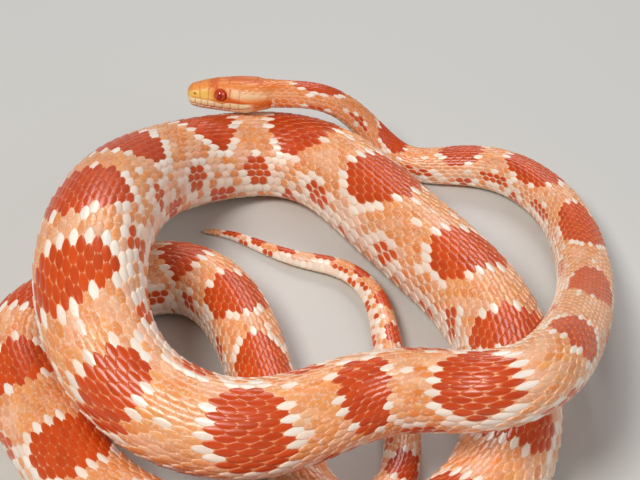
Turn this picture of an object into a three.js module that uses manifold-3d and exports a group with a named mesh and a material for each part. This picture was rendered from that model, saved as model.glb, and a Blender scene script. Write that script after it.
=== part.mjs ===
// An adult corn snake in its amelanistic colours, lying coiled with its head on its own back.
// Millimetres, +Z up, floor at z = 0, origin at the middle of the outline on the floor.
import * as THREE from 'three';
import { mergeVertices } from 'three/addons/utils/BufferGeometryUtils.js';
import Module from 'manifold-3d';

const wasm = await Module();
wasm.setup();

// Driving sizes
const GAP = 0.3;
const RING_POINTS = 18;
const FLAT_BELLY = 0.86;
const BELLY_SQUARENESS = 1.6;
const PRESS = 0.3;
const SCUTE_STEP = 0.45;
const SCUTE_EDGE = 1.4;
const SCUTE_FROM = 115;
const TRUNK_SCUTE = 12;
const TAIL_SCUTE = 9;
const NECK_LENGTH = 84;
const VENT_AT = 1284;
const TRUNK_NODES = 10;
const TAIL_NODES = 3;
const SPLINE_STEPS = 16;

// Stations from nape to tail tip: x, y, lift of the belly off the floor, diameter,
// and lean of the back to the left of travel in degrees
const NECK_STATIONS = [
  [-12, 113, 34, 12.2, 17],
  [0, 113, 34, 11.6, 16],
  [9, 113, 32, 11.6, 12],
  [18, 116, 24, 12, 6],
  [27, 118, 12, 12.5, 2],
  [37, 114, 2, 13, 0],
  [48, 109, 0, 14.5, 0],
];
const FRONT_TRUNK_STATIONS = [
  [64, 110, 0, 17, 0],
  [84, 105, 0, 18.5, 3],
  [101, 82, 0, 19, 5],
  [106, 51, 1, 20, 8],
  [102, 11, 10, 21, 12],
  [89, -37, 33, 22.5, 20],
  [75, -72, 48, 24, 28],
  [59, -80, 48, 25, 34],
  [45, -73, 41, 26, 38],
];
const LOOP_STATIONS = [
  [30, -65, 34, 27.5, 42],
  [12, -67, 29, 29, 46],
  [-6, -75, 25, 31.5, 50],
  [-26, -74, 22, 33, 50],
  [-47, -64, 22, 34.5, 42],
  [-62, -49, 27, 36, 30],
  [-70, -30, 35, 37.5, 20],
  [-72, -1, 37.5, 38.5, 15],
  [-69, 41, 26, 38, 8],
  [-58, 77, 12, 36, 3],
  [-39, 99, 3, 35, 0],
  [-14, 109, 0, 34.5, 0],
  [8, 100, 0, 35, 0],
];
const MIDDLE_STATIONS = [
  [22, 82, 0, 35.5, 0],
  [38, 56, 0, 35.5, 0],
  [54, 33, 0, 35, 0],
  [66, 11, 0, 34.5, 0],
  [72, -15, 0, 34, 0],
  [72, -43, 0, 33.5, 0],
  [62, -81, 0, 33, 0],
  [36, -103, 0, 32.5, 0],
  [2, -109, 0, 32.5, 0],
  [-32, -102, 0, 32, 0],
  [-64, -86, 0, 32, 2],
  [-80, -55, 0, 31.5, 4],
  [-95, -33, 0, 31, 6],
  [-101, -11, 0, 30.5, 6],
];
const REAR_TRUNK_STATIONS = [
  [-94, 7, 0, 30, 2],
  [-78, 20, 0, 29, 0],
  [-62, 30, 0, 28, 0],
  [-44, 33, 0, 27, 0],
  [-30, 23, 0, 26, 0],
  [-20, 2, 0, 25, 0],
  [-14, -23, 0, 23.5, 0],
  [-6, -49, 0, 21.5, 0],
  [2, -77, 0, 18.5, -4],
];
const TAIL_STATIONS = [
  [20, -84, 0, 16, -12],
  [34, -67, 0, 13.5, -22],
  [34, -31, 0, 12, -34],
  [30, 3, 0, 11, -40],
  [28, 29, 0, 9.5, -40],
  [16, 47, 0, 8.5, -34],
  [0, 51, 0, 7, -24],
  [-14, 59, 0, 5.5, -12],
  [-28, 70, 0, 4, -6],
  [-40, 73, 0, 2, 0],
];
const STATIONS = [
  ...NECK_STATIONS,
  ...FRONT_TRUNK_STATIONS,
  ...LOOP_STATIONS,
  ...MIDDLE_STATIONS,
  ...REAR_TRUNK_STATIONS,
  ...TAIL_STATIONS,
];

// Head profile from snout to nape: distance back, half width, height over and depth under the axis
const HEAD_LENGTH = 35;
const HEAD_PROFILE = [
  [0, 2.6, 1.6, 3.0],
  [0.9, 3.7, 2.9, 4.2],
  [2.6, 4.8, 3.9, 5.0],
  [5.2, 5.6, 4.7, 5.6],
  [8.5, 6.3, 5.4, 6.0],
  [11.5, 6.9, 5.9, 6.3],
  [14.5, 7.5, 6.2, 6.6],
  [18, 8.4, 6.4, 6.9],
  [22, 9.2, 6.5, 7.1],
  [26, 9.4, 6.4, 7.0],
  [29.5, 8.6, 6.3, 6.6],
  [32.5, 7.3, 6.2, 6.0],
  [35, 6.2, 6.1, 5.3],
];
const HEAD_SQUARENESS = 2.5;
const HEAD_RINGS = 22;
const HEAD_POINTS = 28;

// Mouth line on the side of the head: distance back and height
const MOUTH_LINE = [
  [-1, -2.5],
  [3, -3.2],
  [8, -3.9],
  [14, -4.4],
  [20, -4.6],
  [25, -3.9],
];
const MOUTH_CORNER = 25;
const JAW_INSET = 0.25;

// Eyes and nostrils: distance back, height over the axis and radius
const EYE = { back: 13.6, height: 1.0, radius: 2.5, bulge: 0.6 };
const NOSTRIL = { back: 3.3, height: 1.0, radius: 0.5, depth: 0.9 };

// Grooves between the shields of the crown: distance back and distance from the midline
const CROWN_GROOVES = [
  [[1.2, 2.4], [1.9, 0]],
  [[1.9, 0], [5.2, 0]],
  [[5.2, 0], [4.8, 4.2]],
  [[5.2, 0], [9.2, 0]],
  [[9.2, 0], [9.6, 2.4], [10.4, 5.2]],
  [[9.6, 2.4], [16.8, 1.7]],
  [[16.8, 1.7], [18.8, 0]],
  [[16.8, 1.7], [16.9, 5.4]],
  [[10.4, 5.2], [13.6, 5.6], [16.9, 5.4]],
  [[18.8, 0], [27.5, 0]],
  [[16.9, 5.4], [22, 5.8], [26.8, 3.8], [28.2, 1.2], [27.5, 0]],
];

// Grooves on the side of the head: distance back and height
const LIP_TOP = [[2.2, -0.6], [8, -1.2], [11, -1.5], [13.6, -2.2], [17, -1.7], [24, -1.9]];
const LIP_SEAMS = [3.4, 5.8, 8.4, 11.1, 14.2, 17.4, 20.7];
const CHEEK_GROOVES = [
  [[5.4, -0.9], [5.2, 2.8]],
  [[8.6, -1.2], [8.7, 3.4]],
  [[17, -1.7], [17.4, 3.6]],
  [[20.8, -1.8], [21.4, 3.4]],
];
const JAW_SEAMS = [4, 7, 10, 13.5, 17, 21];
const GROOVE_WIDTH = 0.32;
const GROOVE_DEPTH = 0.28;
const GROOVE_PIECE = 4.6;

// Colours of the materials
const ORANGE = '#d9531f';
const RED = '#c63c12';
const CREAM = '#efd2a4';
const EYE_RED = '#c2330f';

// The centreline: a uniform cubic B-spline through the stations
function splineRow(rows, i, t) {
  const weights = [
    (1 - t) ** 3,
    3 * t ** 3 - 6 * t ** 2 + 4,
    -3 * t ** 3 + 3 * t ** 2 + 3 * t + 1,
    t ** 3,
  ];
  return rows[i].map((_, k) => weights.reduce((sum, w, j) => sum + w * rows[i + j][k], 0) / 6);
}

function mirrored(a, b) {
  return a.map((value, k) => 2 * value - b[k]);
}

function centreline() {
  const last = STATIONS.length - 1;
  const rows = [
    mirrored(STATIONS[0], STATIONS[1]),
    ...STATIONS,
    mirrored(STATIONS[last], STATIONS[last - 1]),
  ];
  const samples = [];
  for (let i = 0; i < last; i += 1) {
    for (let step = 0; step < SPLINE_STEPS; step += 1) {
      samples.push(splineRow(rows, i, step / SPLINE_STEPS));
    }
  }
  samples.push([...STATIONS[last]]);
  let along = 0;
  return samples.map(([x, y, lift, diameter, lean], i) => {
    const radius = diameter / 2;
    const point = new THREE.Vector3(x, y, lift + FLAT_BELLY * radius - PRESS);
    if (i > 0) {
      const [px, py, plift, pdiameter] = samples[i - 1];
      const before = new THREE.Vector3(px, py, plift + (FLAT_BELLY * pdiameter) / 2 - PRESS);
      along += point.distanceTo(before);
    }
    return { along, point, radius, lean };
  });
}

const LINE = centreline();
const BODY_LENGTH = LINE[LINE.length - 1].along;

function lineAt(along) {
  let hi = 1;
  while (hi < LINE.length - 1 && LINE[hi].along < along) {
    hi += 1;
  }
  const a = LINE[hi - 1];
  const b = LINE[hi];
  const t = (along - a.along) / (b.along - a.along);
  return {
    point: a.point.clone().lerp(b.point, t),
    radius: a.radius + (b.radius - a.radius) * t,
    lean: a.lean + (b.lean - a.lean) * t,
  };
}

function frameAt(along) {
  const here = lineAt(along);
  const reach = 2;
  const from = lineAt(Math.max(0, along - reach)).point;
  const to = lineAt(Math.min(BODY_LENGTH, along + reach)).point;
  const travel = to.clone().sub(from).normalize();
  const left = new THREE.Vector3(0, 0, 1).cross(travel).normalize();
  const up = travel.clone().cross(left);
  const lean = THREE.MathUtils.degToRad(here.lean);
  const back = up.clone().multiplyScalar(Math.cos(lean)).addScaledVector(left, Math.sin(lean));
  const side = left.clone().multiplyScalar(Math.cos(lean)).addScaledVector(up, -Math.sin(lean));
  return { ...here, travel, back, side };
}

// One cross-section: round over the back, flattened under the belly
function bellyDepth(cosine) {
  return (FLAT_BELLY * Math.tanh(BELLY_SQUARENESS * cosine)) / Math.tanh(BELLY_SQUARENESS);
}

function bodyRing(along, raised) {
  const { point, radius, back, side } = frameAt(along);
  const ring = [];
  for (let i = 0; i < RING_POINTS; i += 1) {
    const angle = (2 * Math.PI * i) / RING_POINTS;
    const cosine = Math.cos(angle);
    const degrees = Math.min(angle, 2 * Math.PI - angle) * THREE.MathUtils.RAD2DEG;
    const scute = raised && degrees > SCUTE_FROM ? SCUTE_STEP * Math.min(1, radius / 6) : 0;
    const grown = radius + scute;
    const rise = cosine >= 0 ? cosine : bellyDepth(cosine);
    const vertex = point.clone()
      .addScaledVector(back, grown * rise)
      .addScaledVector(side, grown * Math.sin(angle));
    vertex.z = Math.max(0, vertex.z);
    ring.push(vertex);
  }
  return ring;
}

// A closed solid through a row of rings, with flat ends
function loft(rings, flip = false) {
  const count = rings[0].length;
  const points = rings.flat();
  const index = [];
  for (let r = 0; r < rings.length - 1; r += 1) {
    for (let i = 0; i < count; i += 1) {
      const j = (i + 1) % count;
      const a = r * count + i;
      const b = r * count + j;
      const c = (r + 1) * count + i;
      const d = (r + 1) * count + j;
      index.push(a, b, d, a, d, c);
    }
  }
  const ends = [rings[0], rings[rings.length - 1]];
  ends.forEach((ring, end) => {
    const centre = new THREE.Vector3();
    ring.forEach((vertex) => centre.addScaledVector(vertex, 1 / count));
    points.push(centre);
    const first = end === 0 ? 0 : (rings.length - 1) * count;
    for (let i = 0; i < count; i += 1) {
      const j = (i + 1) % count;
      if (end === 0) {
        index.push(points.length - 1, first + j, first + i);
      } else {
        index.push(points.length - 1, first + i, first + j);
      }
    }
  });
  if (flip) {
    for (let i = 0; i < index.length; i += 3) {
      [index[i + 1], index[i + 2]] = [index[i + 2], index[i + 1]];
    }
  }
  const geometry = new THREE.BufferGeometry().setFromPoints(points);
  geometry.setIndex(index);
  return geometry;
}

// One length of the body, its belly stepped by the broad scutes
function bodyLength(from, to, pitch) {
  const start = from + GAP / 2;
  const end = to - GAP / 2;
  const scutes = Math.round((end - start) / pitch);
  const step = (end - start) / scutes;
  const rings = [];
  for (let i = 0; i < scutes; i += 1) {
    rings.push(bodyRing(start + i * step, false));
    rings.push(bodyRing(start + (i + 1) * step - SCUTE_EDGE, true));
  }
  rings.push(bodyRing(end, false));
  return loft(rings, true);
}

// The head: a smooth loft whose profile is read between its sections
function profileAt(back, column) {
  const rows = HEAD_PROFILE;
  let i = 0;
  while (i < rows.length - 2 && rows[i + 1][0] < back) {
    i += 1;
  }
  const [x0, x1] = [rows[i][0], rows[i + 1][0]];
  const slope = (k) => {
    const lo = Math.max(0, k - 1);
    const hi = Math.min(rows.length - 1, k + 1);
    return (rows[hi][column] - rows[lo][column]) / (rows[hi][0] - rows[lo][0]);
  };
  const t = THREE.MathUtils.clamp((back - x0) / (x1 - x0), 0, 1);
  const h = x1 - x0;
  const [y0, y1] = [rows[i][column], rows[i + 1][column]];
  return (2 * t ** 3 - 3 * t ** 2 + 1) * y0 + (t ** 3 - 2 * t ** 2 + t) * h * slope(i)
    + (-2 * t ** 3 + 3 * t ** 2) * y1 + (t ** 3 - t ** 2) * h * slope(i + 1);
}

const HEAD_FRAME = frameAt(0);

function headToWorld(back, side, height) {
  return HEAD_FRAME.point.clone()
    .addScaledVector(HEAD_FRAME.travel, back - HEAD_LENGTH)
    .addScaledVector(HEAD_FRAME.side, side)
    .addScaledVector(HEAD_FRAME.back, height);
}

function squareness(back) {
  const blend = THREE.MathUtils.smoothstep(back, 24, HEAD_LENGTH);
  return HEAD_SQUARENESS + (2.1 - HEAD_SQUARENESS) * blend;
}

function crownPoint(back, side) {
  const n = squareness(back);
  const share = Math.min(0.999, Math.abs(side) / profileAt(back, 1));
  return headToWorld(back, side, profileAt(back, 2) * (1 - share ** n) ** (1 / n));
}

function flankPoint(back, height, right, inset = 0) {
  const n = squareness(back);
  const reach = height > 0 ? profileAt(back, 2) : profileAt(back, 3);
  const share = Math.min(0.999, Math.abs(height) / reach);
  const side = (profileAt(back, 1) - inset) * (1 - share ** n) ** (1 / n);
  return headToWorld(back, right * side, height);
}

function headRing(back, inset) {
  const n = squareness(back);
  const ring = [];
  for (let i = 0; i < HEAD_POINTS; i += 1) {
    const angle = (2 * Math.PI * i) / HEAD_POINTS;
    const [sine, cosine] = [Math.sin(angle), Math.cos(angle)];
    const side = (profileAt(back, 1) - inset) * Math.sign(sine) * Math.abs(sine) ** (2 / n);
    const reach = profileAt(back, cosine > 0 ? 2 : 3) - inset;
    ring.push(headToWorld(back, side, reach * Math.sign(cosine) * Math.abs(cosine) ** (2 / n)));
  }
  return ring;
}

function headLoft(inset) {
  const rings = [];
  const end = HEAD_LENGTH - GAP / 2;
  for (let i = 0; i <= HEAD_RINGS; i += 1) {
    const share = i / HEAD_RINGS;
    rings.push(headRing(inset + (end - inset) * share ** 1.35, inset));
  }
  return loft(rings, true);
}

// Solids for joining and cutting
function toSolid(geometry) {
  const plain = geometry.clone();
  plain.deleteAttribute('normal');
  plain.deleteAttribute('uv');
  const merged = mergeVertices(plain, 1e-5);
  return new wasm.Manifold(new wasm.Mesh({
    numProp: 3,
    vertProperties: new Float32Array(merged.attributes.position.array),
    triVerts: new Uint32Array(merged.index.array),
  }));
}

function toGeometry(solid) {
  const mesh = solid.getMesh();
  const geometry = new THREE.BufferGeometry();
  geometry.setAttribute('position', new THREE.BufferAttribute(mesh.vertProperties, 3));
  geometry.setIndex(new THREE.BufferAttribute(mesh.triVerts, 1));
  return geometry;
}

// A block with four corners at each end, for grooves and for the mouth cut
function block(near, far) {
  const geometry = new THREE.BufferGeometry().setFromPoints([...near, ...far]);
  const faces = [0, 2, 1, 0, 3, 2, 4, 5, 6, 4, 6, 7];
  for (let i = 0; i < 4; i += 1) {
    const j = (i + 1) % 4;
    faces.push(i, j, j + 4, i, j + 4, i + 4);
  }
  geometry.setIndex(faces);
  const solid = toSolid(geometry);
  if (solid.volume() > 0) {
    return solid;
  }
  for (let i = 0; i < faces.length; i += 3) {
    [faces[i + 1], faces[i + 2]] = [faces[i + 2], faces[i + 1]];
  }
  geometry.setIndex(faces);
  return toSolid(geometry);
}

function surfaceNormal(surface, u, v) {
  const step = 0.15;
  const du = surface(u + step, v).sub(surface(u - step, v));
  const dv = surface(u, v + step).sub(surface(u, v - step));
  const normal = du.cross(dv).normalize();
  const outward = surface(u, v).sub(headToWorld(u, 0, 0));
  return normal.dot(outward) < 0 ? normal.negate() : normal;
}

function groovePieces(surface, path) {
  const pieces = [];
  for (let i = 0; i < path.length - 1; i += 1) {
    const [a, b] = [path[i], path[i + 1]];
    const parts = Math.ceil(Math.hypot(b[0] - a[0], b[1] - a[1]) / GROOVE_PIECE);
    for (let k = 0; k < parts; k += 1) {
      const ends = [k / parts, (k + 1) / parts].map((t) => {
        const [u, v] = [a[0] + (b[0] - a[0]) * t, a[1] + (b[1] - a[1]) * t];
        return { point: surface(u, v), normal: surfaceNormal(surface, u, v) };
      });
      const along = ends[1].point.clone().sub(ends[0].point).normalize();
      const corners = ends.map(({ point, normal }, end) => {
        const across = along.clone().cross(normal).normalize().multiplyScalar(GROOVE_WIDTH / 2);
        const base = point.clone().addScaledVector(along, (end === 0 ? -1 : 1) * 0.08);
        const low = base.clone().addScaledVector(normal, -GROOVE_DEPTH);
        const high = base.clone().addScaledVector(normal, 0.8);
        return [
          low.clone().sub(across), low.clone().add(across),
          high.clone().add(across), high.clone().sub(across),
        ];
      });
      pieces.push(block(corners[0], corners[1]));
    }
  }
  return pieces;
}

function mouthHeight(back) {
  let i = 0;
  while (i < MOUTH_LINE.length - 2 && MOUTH_LINE[i + 1][0] < back) {
    i += 1;
  }
  const [a, b] = [MOUTH_LINE[i], MOUTH_LINE[i + 1]];
  return a[1] + ((b[1] - a[1]) * (back - a[0])) / (b[0] - a[0]);
}

// Everything under the mouth line, in front of the corner of the mouth
function underMouth(offset) {
  const width = 14;
  const depth = -12;
  const end = MOUTH_CORNER - (offset < 0 ? GAP : 0);
  const line = MOUTH_LINE.map(([back]) => Math.min(back, end));
  const outline = [
    ...line.map((back) => [back, mouthHeight(back) + offset]),
    [end, depth],
    [line[0], depth],
  ];
  const rings = [-width, width].map((side) => (
    outline.map(([back, height]) => headToWorld(back, side, height))
  ));
  const solid = toSolid(loft(rings));
  return solid.volume() > 0 ? solid : toSolid(loft(rings, true));
}

function cutAll(solid, cutters) {
  return cutters.reduce((rest, cutter) => rest.subtract(cutter), solid);
}

function sphereAt(point, radius, segments) {
  const geometry = new THREE.SphereGeometry(radius, segments, Math.round(segments * 0.7));
  geometry.translate(point.x, point.y, point.z);
  return geometry;
}

function eyeCentre(right) {
  const surface = flankPoint(EYE.back, EYE.height, right);
  const inward = HEAD_FRAME.side.clone().multiplyScalar(-right);
  return surface.addScaledVector(inward, EYE.radius - EYE.bulge);
}

function nostril(right) {
  const surface = (u, v) => flankPoint(u, v, right);
  const at = surface(NOSTRIL.back, NOSTRIL.height);
  const normal = surfaceNormal(surface, NOSTRIL.back, NOSTRIL.height);
  const geometry = new THREE.CylinderGeometry(NOSTRIL.radius, NOSTRIL.radius, NOSTRIL.depth * 2, 10);
  geometry.applyQuaternion(new THREE.Quaternion().setFromUnitVectors(new THREE.Vector3(0, 1, 0), normal));
  geometry.translate(at.x, at.y, at.z);
  return toSolid(geometry);
}

function crownGrooves() {
  return CROWN_GROOVES.flatMap((path) => {
    const midline = path.every(([, side]) => side === 0);
    const sides = midline ? [1] : [1, -1];
    return sides.flatMap((right) => (
      groovePieces(crownPoint, path.map(([back, side]) => [back, side * right]))
    ));
  });
}

function cheekGrooves() {
  const seams = LIP_SEAMS.map((back) => {
    const i = LIP_TOP.findIndex(([x]) => x > back);
    const [a, b] = [LIP_TOP[i - 1], LIP_TOP[i]];
    const top = a[1] + ((b[1] - a[1]) * (back - a[0])) / (b[0] - a[0]);
    return [[back, mouthHeight(back) + 0.2], [back, top]];
  });
  return [1, -1].flatMap((right) => (
    [LIP_TOP, ...seams, ...CHEEK_GROOVES].flatMap((path) => (
      groovePieces((u, v) => flankPoint(u, v, right), path)
    ))
  ));
}

function jawGrooves() {
  return [1, -1].flatMap((right) => JAW_SEAMS.flatMap((back) => {
    const top = mouthHeight(back) - 0.5;
    return groovePieces((u, v) => flankPoint(u, v, right, JAW_INSET), [[back, top], [back, top - 1.3]]);
  }));
}

function headSolids() {
  const sockets = [1, -1].map((right) => toSolid(sphereAt(eyeCentre(right), EYE.radius + GAP, 20)));
  const head = cutAll(toSolid(headLoft(0)), [
    underMouth(0),
    ...sockets,
    nostril(1),
    nostril(-1),
    ...crownGrooves(),
    ...cheekGrooves(),
  ]);
  const jaw = cutAll(toSolid(headLoft(JAW_INSET)).intersect(underMouth(-GAP)), jawGrooves());
  return { head: largest(head), jaw: largest(jaw) };
}

function largest(solid) {
  return solid.decompose().reduce((best, piece) => (piece.volume() > best.volume() ? piece : best));
}

// Materials
function scaleSkin(color, roughness) {
  return new THREE.MeshStandardMaterial({ color, roughness, metalness: 0 });
}

const snake = new THREE.Group();

function addNode(name, geometry, material) {
  const mesh = new THREE.Mesh(geometry, material);
  mesh.name = name;
  snake.add(mesh);
}

const { head, jaw } = headSolids();
addNode('head', toGeometry(head), scaleSkin(ORANGE, 0.4));
addNode('lower_jaw', toGeometry(jaw), scaleSkin(CREAM, 0.4));
addNode('eye_left', sphereAt(eyeCentre(-1), EYE.radius, 16), scaleSkin(EYE_RED, 0.1));
addNode('eye_right', sphereAt(eyeCentre(1), EYE.radius, 16), scaleSkin(EYE_RED, 0.1));
addNode('neck', bodyLength(0, NECK_LENGTH, TRUNK_SCUTE), scaleSkin(ORANGE, 0.45));
const trunkPitch = (VENT_AT - NECK_LENGTH) / TRUNK_NODES;
for (let i = 0; i < TRUNK_NODES; i += 1) {
  const from = NECK_LENGTH + i * trunkPitch;
  addNode(`trunk_${i + 1}`, bodyLength(from, from + trunkPitch, TRUNK_SCUTE), scaleSkin(i % 2 ? RED : ORANGE, 0.45));
}
const tailPitch = (BODY_LENGTH - VENT_AT) / TAIL_NODES;
for (let i = 0; i < TAIL_NODES; i += 1) {
  const from = VENT_AT + i * tailPitch;
  const to = i === TAIL_NODES - 1 ? BODY_LENGTH : from + tailPitch;
  addNode(`tail_${i + 1}`, bodyLength(from, to, TAIL_SCUTE), scaleSkin(i % 2 ? RED : ORANGE, 0.45));
}

export default snake;
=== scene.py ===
"""An adult corn snake in its amelanistic colours, lying coiled with its head on its own back."""
import math

import bmesh
import bpy
import numpy as np
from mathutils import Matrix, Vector
from mathutils.kdtree import KDTree


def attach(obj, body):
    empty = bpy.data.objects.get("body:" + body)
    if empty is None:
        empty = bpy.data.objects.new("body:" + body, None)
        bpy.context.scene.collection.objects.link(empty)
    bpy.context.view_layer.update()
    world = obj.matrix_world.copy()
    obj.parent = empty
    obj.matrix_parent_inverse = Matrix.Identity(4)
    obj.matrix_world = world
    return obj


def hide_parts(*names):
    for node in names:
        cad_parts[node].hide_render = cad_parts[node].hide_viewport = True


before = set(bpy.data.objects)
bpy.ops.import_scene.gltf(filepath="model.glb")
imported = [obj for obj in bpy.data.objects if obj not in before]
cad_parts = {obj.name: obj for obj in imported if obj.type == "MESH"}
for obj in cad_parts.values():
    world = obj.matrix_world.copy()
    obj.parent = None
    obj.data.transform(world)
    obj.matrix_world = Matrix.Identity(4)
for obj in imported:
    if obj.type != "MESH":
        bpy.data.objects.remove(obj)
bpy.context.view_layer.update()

MM = 0.001

# Camera: the photo's viewing angle
CAMERA_TARGET = (6.0, 45.0, 18.0)
CAMERA_DISTANCE = 600.0
CAMERA_ELEVATION = 38.0
CAMERA_LENS = 90.0

# The solids' centreline and cross-section, in millimetres: x, y, lift, diameter, lean
FLAT_BELLY = 0.86
BELLY_SQUARENESS = 1.6
PRESS = 0.3
SPLINE_STEPS = 48
VENT_AT = 1284.0
STATIONS = [
    (-12, 113, 34, 12.2, 17),
    (0, 113, 34, 11.6, 16),
    (9, 113, 32, 11.6, 12),
    (18, 116, 24, 12, 6),
    (27, 118, 12, 12.5, 2),
    (37, 114, 2, 13, 0),
    (48, 109, 0, 14.5, 0),
    (64, 110, 0, 17, 0),
    (84, 105, 0, 18.5, 3),
    (101, 82, 0, 19, 5),
    (106, 51, 1, 20, 8),
    (102, 11, 10, 21, 12),
    (89, -37, 33, 22.5, 20),
    (75, -72, 48, 24, 28),
    (59, -80, 48, 25, 34),
    (45, -73, 41, 26, 38),
    (30, -65, 34, 27.5, 42),
    (12, -67, 29, 29, 46),
    (-6, -75, 25, 31.5, 50),
    (-26, -74, 22, 33, 50),
    (-47, -64, 22, 34.5, 42),
    (-62, -49, 27, 36, 30),
    (-70, -30, 35, 37.5, 20),
    (-72, -1, 37.5, 38.5, 15),
    (-69, 41, 26, 38, 8),
    (-58, 77, 12, 36, 3),
    (-39, 99, 3, 35, 0),
    (-14, 109, 0, 34.5, 0),
    (8, 100, 0, 35, 0),
    (22, 82, 0, 35.5, 0),
    (38, 56, 0, 35.5, 0),
    (54, 33, 0, 35, 0),
    (66, 11, 0, 34.5, 0),
    (72, -15, 0, 34, 0),
    (72, -43, 0, 33.5, 0),
    (62, -81, 0, 33, 0),
    (36, -103, 0, 32.5, 0),
    (2, -109, 0, 32.5, 0),
    (-32, -102, 0, 32, 0),
    (-64, -86, 0, 32, 2),
    (-80, -55, 0, 31.5, 4),
    (-95, -33, 0, 31, 6),
    (-101, -11, 0, 30.5, 6),
    (-94, 7, 0, 30, 2),
    (-78, 20, 0, 29, 0),
    (-62, 30, 0, 28, 0),
    (-44, 33, 0, 27, 0),
    (-30, 23, 0, 26, 0),
    (-20, 2, 0, 25, 0),
    (-14, -23, 0, 23.5, 0),
    (-6, -49, 0, 21.5, 0),
    (2, -77, 0, 18.5, -4),
    (20, -84, 0, 16, -12),
    (34, -67, 0, 13.5, -22),
    (34, -31, 0, 12, -34),
    (30, 3, 0, 11, -40),
    (28, 29, 0, 9.5, -40),
    (16, 47, 0, 8.5, -34),
    (0, 51, 0, 7, -24),
    (-14, 59, 0, 5.5, -12),
    (-28, 70, 0, 4, -6),
    (-40, 73, 0, 2, 0),
]

# The head: distance back from the snout, half width, height over and depth under its axis
HEAD_LENGTH = 35.0
SNOUT_ROUND = 2.6
HEAD_PROFILE = np.array([
    (0, 4.2, 3.2, 4.4),
    (2.6, 4.8, 3.9, 5.0),
    (5.2, 5.6, 4.7, 5.6),
    (8.5, 6.3, 5.4, 6.0),
    (11.5, 6.9, 5.9, 6.3),
    (14.5, 7.5, 6.2, 6.6),
    (18, 8.4, 6.4, 6.9),
    (22, 9.2, 6.5, 7.1),
    (26, 9.4, 6.4, 7.0),
    (29.5, 8.6, 6.3, 6.6),
    (32.5, 7.3, 6.2, 6.0),
    (35, 6.2, 6.1, 5.3),
])
HEAD_SQUARENESS = 2.5
NAPE_SQUARENESS = 2.1
MOUTH_LINE = np.array([(-1, -2.5), (3, -3.2), (8, -3.9), (14, -4.4), (20, -4.6), (25, -3.9)])
EYE_BACK = 13.6
EYE_HEIGHT = 1.0
EYE_RADIUS = 2.7
EYE_BULGE = 1.1
EYE_OPENING = 2.45
NOSTRIL_BACK = 3.3
NOSTRIL_HEIGHT = 1.0
CROWN_GROOVES = [
    [(1.2, 2.4), (1.9, 0)],
    [(1.9, 0), (5.2, 0)],
    [(5.2, 0), (4.8, 4.2)],
    [(5.2, 0), (9.2, 0)],
    [(9.2, 0), (9.6, 2.4), (10.4, 5.2)],
    [(9.6, 2.4), (16.8, 1.7)],
    [(16.8, 1.7), (18.8, 0)],
    [(16.8, 1.7), (16.9, 5.4)],
    [(10.4, 5.2), (13.6, 5.6), (16.9, 5.4)],
    [(18.8, 0), (27.5, 0)],
    [(16.9, 5.4), (22, 5.8), (26.8, 3.8), (28.2, 1.2), (27.5, 0)],
]
LIP_TOP = [(2.2, -0.6), (8, -1.2), (11, -1.5), (13.6, -2.2), (17, -1.7), (24, -1.9)]
LIP_SEAMS = [3.4, 5.8, 8.4, 11.1, 14.2, 17.4, 20.7]
CHEEK_GROOVES = [
    [(5.4, -0.9), (5.2, 2.8)],
    [(8.6, -1.2), (8.7, 3.4)],
    [(17, -1.7), (17.4, 3.6)],
    [(20.8, -1.8), (21.4, 3.4)],
]
JAW_SEAMS = [4, 7, 10, 13.5, 17, 21]
GROOVE_DEPTH = 0.24
GROOVE_HALF = 0.17
MOUTH_DEPTH = 0.6
MOUTH_HALF = 0.24
HEAD_ROWS = 200
HEAD_COLUMNS = 220

# Soft swells of the head skin: distance back, height, length, height of the swell, rise
HEAD_SWELLS = [
    (13.2, 4.2, 3.2, 0.9, 0.35),
    (8.8, 0.9, 2.0, 1.3, -0.35),
    (23.5, -0.5, 4.0, 2.2, 0.25),
]
EYE_PIT_DEPTH = 2.2
LID_RISE = 0.22
NOSTRIL_DEPTH = 0.8
NOSTRIL_RIM_RISE = 0.12

# The cheek stripe: distance back and height of its middle
CHEEK_STRIPE = np.array([(15, 0.0), (18, -1.2), (25, -2.6), (35, -2.0)])

# How far forward on the head the small scales reach, for each angle from the crown
HEAD_LIMIT = np.array([(0, -5.0), (38, -5.5), (58, -13.0), (85, -13.5), (110, -10.0)])

# Skin and scales
SKIN_STEP = 2.0
SKIN_CLEARANCE = 0.15
SKIN_SEED = 0.0
COAT_SEED = 1.0
SKIN_COLUMNS = 56
VENTRAL_EDGE = 120.0
COAT_FROM = -16.0
ROW_COUNTS = [
    (-20, 19), (70, 21), (200, 23), (360, 25), (500, 27), (900, 25), (1040, 23), (1150, 21),
    (1230, 17), (1290, 13), (1335, 11), (1385, 9), (1430, 7), (1455, 5),
]
BACK_CROWDING = 0.78
END_POWER = 1.9
SIDE_POWER = 1.35
RING_SHARES = (0.45, 0.74, 0.92, 1.0)
RING_SEGMENTS = 14
RIM_SHARES = [0, 0, 0.04, 0.30, 0.80, 1.0]
SCUTE_ACROSS = 19
SCUTE_ALONG = 4
SCUTES_FROM = -8.5
COAT_PIECES = [
    ("coat_neck", COAT_FROM, 100),
    ("coat_front_1", 100, 250),
    ("coat_front_2", 250, 400),
    ("coat_loop_1", 400, 520),
    ("coat_loop_2", 520, 640),
    ("coat_loop_3", 640, 760),
    ("coat_middle_1", 760, 890),
    ("coat_middle_2", 890, 1030),
    ("coat_rear_1", 1030, 1160),
    ("coat_rear_2", 1160, 1290),
    ("coat_tail", 1290, 1600),
]
UV_MARGIN = 16
UV_DEGREES = 380.0

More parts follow.
